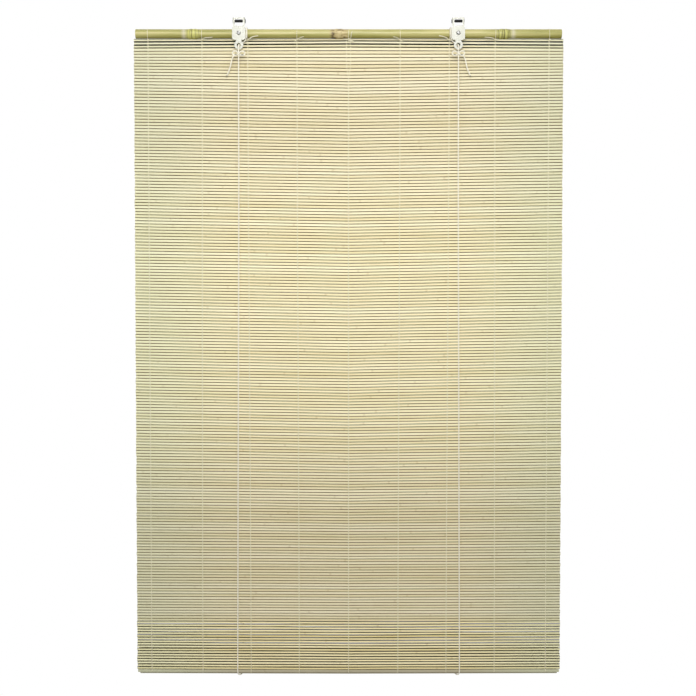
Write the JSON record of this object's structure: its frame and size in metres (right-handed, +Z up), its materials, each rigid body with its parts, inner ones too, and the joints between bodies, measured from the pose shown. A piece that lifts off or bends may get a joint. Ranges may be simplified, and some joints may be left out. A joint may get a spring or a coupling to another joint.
{
  "type": "bamboo roll up blind",
  "caption": "window blind of split bamboo slats tied to a bamboo pole, with pin hangers, lift cords and a rod in the hem, which rolls up from below",
  "frame": {"origin": "midway between the two hanger pins, on the line of their axes", "axes": "+X along the pole to the viewer's right, +Y away from the room towards the window, +Z up"},
  "size_m": [0.9, 0.0331, 1.3885],
  "materials": {
    "pole_bamboo": "satin olive and straw bamboo skin",
    "slat_bamboo": "satin split bamboo, cream",
    "white_paint": "gloss white paint",
    "dark_steel": "dark oiled steel",
    "screw_steel": "zinc plated steel",
    "white_cord": "braided white cord",
    "tie_thread": "twisted cream thread"
  },
  "bodies": {
    "root": {"top_pole": "pole_bamboo", "top_slats": "slat_bamboo", "pole_ties": "tie_thread", "warp_threads": "tie_thread", "hanger_left": "white_paint", "hanger_right": "white_paint", "hanger_pin_left": "dark_steel", "hanger_pin_right": "dark_steel", "hanger_screw_left": "screw_steel", "hanger_screw_right": "screw_steel", "lift_cord_left": "white_cord", "lift_cord_right": "white_cord", "cord_tie_left": "white_cord", "cord_tie_right": "white_cord", "cord_tail_left": "white_cord", "cord_tail_right": "white_cord"},
    "band_01": {"slat_band_01": "slat_bamboo"},
    "band_02": {"slat_band_02": "slat_bamboo"},
    "band_03": {"slat_band_03": "slat_bamboo"},
    "band_04": {"slat_band_04": "slat_bamboo"},
    "band_05": {"slat_band_05": "slat_bamboo"},
    "band_06": {"slat_band_06": "slat_bamboo"},
    "band_07": {"slat_band_07": "slat_bamboo"},
    "band_08": {"slat_band_08": "slat_bamboo"},
    "band_09": {"slat_band_09": "slat_bamboo"},
    "band_10": {"slat_band_10": "slat_bamboo"},
    "band_11": {"slat_band_11": "slat_bamboo"},
    "band_12": {"slat_band_12": "slat_bamboo"},
    "band_13": {"slat_band_13": "slat_bamboo"},
    "band_14": {"slat_band_14": "slat_bamboo"},
    "band_15": {"slat_band_15": "slat_bamboo"},
    "band_16": {"slat_band_16": "slat_bamboo"},
    "band_17": {"slat_band_17": "slat_bamboo"},
    "band_18": {"slat_band_18": "slat_bamboo"},
    "band_19": {"slat_band_19": "slat_bamboo"},
    "band_20": {"slat_band_20": "slat_bamboo"},
    "band_21": {"slat_band_21": "slat_bamboo"},
    "band_22": {"slat_band_22": "slat_bamboo"},
    "band_23": {"slat_band_23": "slat_bamboo"},
    "band_24": {"slat_band_24": "slat_bamboo"},
    "band_25": {"slat_band_25": "slat_bamboo"},
    "band_26": {"slat_band_26": "slat_bamboo"},
    "band_27": {"slat_band_27": "slat_bamboo"},
    "band_28": {"slat_band_28": "slat_bamboo"},
    "band_29": {"slat_band_29": "slat_bamboo"},
    "band_30": {"slat_band_30": "slat_bamboo"},
    "band_31": {"slat_band_31": "slat_bamboo"},
    "band_32": {"slat_band_32": "slat_bamboo"},
    "band_33": {"slat_band_33": "slat_bamboo"},
    "band_34": {"slat_band_34": "slat_bamboo"},
    "band_35": {"slat_band_35": "slat_bamboo"},
    "band_36": {"slat_band_36": "slat_bamboo"},
    "band_37": {"slat_band_37": "slat_bamboo"},
    "band_38": {"slat_band_38": "slat_bamboo"},
    "band_39": {"slat_band_39": "slat_bamboo"},
    "band_40": {"slat_band_40": "slat_bamboo"},
    "hem": {"hem_front_slats": "slat_bamboo", "hem_back_slats": "slat_bamboo", "bottom_rod": "pole_bamboo"}
  },
  "joints": [
    {"name": "roll_up", "type": "hinge", "parent": "root", "child": "band_01", "pos_m": [0, 0, -0.08262], "axis": [1, 0, 0], "range_deg": [0, 25], "deforming": ["lift_cord_left", "lift_cord_right", "warp_threads"]},
    {"name": "roll_02", "type": "hinge", "parent": "band_01", "child": "band_02", "pos_m": [0, 0, -0.11342], "axis": [1, 0, 0], "range_deg": [0, 28.4]},
    {"name": "roll_03", "type": "hinge", "parent": "band_02", "child": "band_03", "pos_m": [0, 0, -0.14422], "axis": [1, 0, 0], "range_deg": [0, 28.63]},
    {"name": "roll_04", "type": "hinge", "parent": "band_03", "child": "band_04", "pos_m": [0, 0, -0.17502], "axis": [1, 0, 0], "range_deg": [0, 28.88]},
    {"name": "roll_05", "type": "hinge", "parent": "band_04", "child": "band_05", "pos_m": [0, 0, -0.20582], "axis": [1, 0, 0], "range_deg": [0, 29.12]},
    {"name": "roll_06", "type": "hinge", "parent": "band_05", "child": "band_06", "pos_m": [0, 0, -0.23662], "axis": [1, 0, 0], "range_deg": [0, 29.38]},
    {"name": "roll_07", "type": "hinge", "parent": "band_06", "child": "band_07", "pos_m": [0, 0, -0.26742], "axis": [1, 0, 0], "range_deg": [0, 29.64]},
    {"name": "roll_08", "type": "hinge", "parent": "band_07", "child": "band_08", "pos_m": [0, 0, -0.29822], "axis": [1, 0, 0], "range_deg": [0, 29.91]},
    {"name": "roll_09", "type": "hinge", "parent": "band_08", "child": "band_09", "pos_m": [0, 0, -0.32902], "axis": [1, 0, 0], "range_deg": [0, 30.19]},
    {"name": "roll_10", "type": "hinge", "parent": "band_09", "child": "band_10", "pos_m": [0, 0, -0.35982], "axis": [1, 0, 0], "range_deg": [0, 30.47]},
    {"name": "roll_11", "type": "hinge", "parent": "band_10", "child": "band_11", "pos_m": [0, 0, -0.39062], "axis": [1, 0, 0], "range_deg": [0, 30.76]},
    {"name": "roll_12", "type": "hinge", "parent": "band_11", "child": "band_12", "pos_m": [0, 0, -0.42142], "axis": [1, 0, 0], "range_deg": [0, 31.06]},
    {"name": "roll_13", "type": "hinge", "parent": "band_12", "child": "band_13", "pos_m": [0, 0, -0.45222], "axis": [1, 0, 0], "range_deg": [0, 31.38]},
    {"name": "roll_14", "type": "hinge", "parent": "band_13", "child": "band_14", "pos_m": [0, 0, -0.48302], "axis": [1, 0, 0], "range_deg": [0, 31.7]},
    {"name": "roll_15", "type": "hinge", "parent": "band_14", "child": "band_15", "pos_m": [0, 0, -0.51382], "axis": [1, 0, 0], "range_deg": [0, 32.03]},
    {"name": "roll_16", "type": "hinge", "parent": "band_15", "child": "band_16", "pos_m": [0, 0, -0.54462], "axis": [1, 0, 0], "range_deg": [0, 32.37]},
    {"name": "roll_17", "type": "hinge", "parent": "band_16", "child": "band_17", "pos_m": [0, 0, -0.57542], "axis": [1, 0, 0], "range_deg": [0, 32.72]},
    {"name": "roll_18", "type": "hinge", "parent": "band_17", "child": "band_18", "pos_m": [0, 0, -0.60622], "axis": [1, 0, 0], "range_deg": [0, 33.08]},
    {"name": "roll_19", "type": "hinge", "parent": "band_18", "child": "band_19", "pos_m": [0, 0, -0.63702], "axis": [1, 0, 0], "range_deg": [0, 33.46]},
    {"name": "roll_20", "type": "hinge", "parent": "band_19", "child": "band_20", "pos_m": [0, 0, -0.66782], "axis": [1, 0, 0], "range_deg": [0, 33.85]},
    {"name": "roll_21", "type": "hinge", "parent": "band_20", "child": "band_21", "pos_m": [0, 0, -0.69862], "axis": [1, 0, 0], "range_deg": [0, 34.25]},
    {"name": "roll_22", "type": "hinge", "parent": "band_21", "child": "band_22", "pos_m": [0, 0, -0.72942], "axis": [1, 0, 0], "range_deg": [0, 34.67]},
    {"name": "roll_23", "type": "hinge", "parent": "band_22", "child": "band_23", "pos_m": [0, 0, -0.76022], "axis": [1, 0, 0], "range_deg": [0, 35.1]},
    {"name": "roll_24", "type": "hinge", "parent": "band_23", "child": "band_24", "pos_m": [0, 0, -0.79102], "axis": [1, 0, 0], "range_deg": [0, 35.56]},
    {"name": "roll_25", "type": "hinge", "parent": "band_24", "child": "band_25", "pos_m": [0, 0, -0.82182], "axis": [1, 0, 0], "range_deg": [0, 36.03]},
    {"name": "roll_26", "type": "hinge", "parent": "band_25", "child": "band_26", "pos_m": [0, 0, -0.85262], "axis": [1, 0, 0], "range_deg": [0, 36.52]},
    {"name": "roll_27", "type": "hinge", "parent": "band_26", "child": "band_27", "pos_m": [0, 0, -0.88342], "axis": [1, 0, 0], "range_deg": [0, 37.02]},
    {"name": "roll_28", "type": "hinge", "parent": "band_27", "child": "band_28", "pos_m": [0, 0, -0.91422], "axis": [1, 0, 0], "range_deg": [0, 37.56]},
    {"name": "roll_29", "type": "hinge", "parent": "band_28", "child": "band_29", "pos_m": [0, 0, -0.94502], "axis": [1, 0, 0], "range_deg": [0, 38.11]},
    {"name": "roll_30", "type": "hinge", "parent": "band_29", "child": "band_30", "pos_m": [0, 0, -0.97582], "axis": [1, 0, 0], "range_deg": [0, 38.69]},
    {"name": "roll_31", "type": "hinge", "parent": "band_30", "child": "band_31", "pos_m": [0, 0, -1.00662], "axis": [1, 0, 0], "range_deg": [0, 39.3]},
    {"name": "roll_32", "type": "hinge", "parent": "band_31", "child": "band_32", "pos_m": [0, 0, -1.03742], "axis": [1, 0, 0], "range_deg": [0, 39.94]},
    {"name": "roll_33", "type": "hinge", "parent": "band_32", "child": "band_33", "pos_m": [0, 0, -1.06822], "axis": [1, 0, 0], "range_deg": [0, 40.62]},
    {"name": "roll_34", "type": "hinge", "parent": "band_33", "child": "band_34", "pos_m": [0, 0, -1.09902], "axis": [1, 0, 0], "range_deg": [0, 41.33]},
    {"name": "roll_35", "type": "hinge", "parent": "band_34", "child": "band_35", "pos_m": [0, 0, -1.12982], "axis": [1, 0, 0], "range_deg": [0, 42.07]},
    {"name": "roll_36", "type": "hinge", "parent": "band_35", "child": "band_36", "pos_m": [0, 0, -1.16062], "axis": [1, 0, 0], "range_deg": [0, 42.86]},
    {"name": "roll_37", "type": "hinge", "parent": "band_36", "child": "band_37", "pos_m": [0, 0, -1.19142], "axis": [1, 0, 0], "range_deg": [0, 43.7]},
    {"name": "roll_38", "type": "hinge", "parent": "band_37", "child": "band_38", "pos_m": [0, 0, -1.22222], "axis": [1, 0, 0], "range_deg": [0, 44.59]},
    {"name": "roll_39", "type": "hinge", "parent": "band_38", "child": "band_39", "pos_m": [0, 0, -1.25302], "axis": [1, 0, 0], "range_deg": [0, 45.54]},
    {"name": "roll_40", "type": "hinge", "parent": "band_39", "child": "band_40", "pos_m": [0, 0, -1.28382], "axis": [1, 0, 0], "range_deg": [0, 46.55]},
    {"name": "roll_hem", "type": "hinge", "parent": "band_40", "child": "hem", "pos_m": [0, 0.0008, -1.31462], "axis": [1, 0, 0], "range_deg": [0, 83.64]}
  ]
}
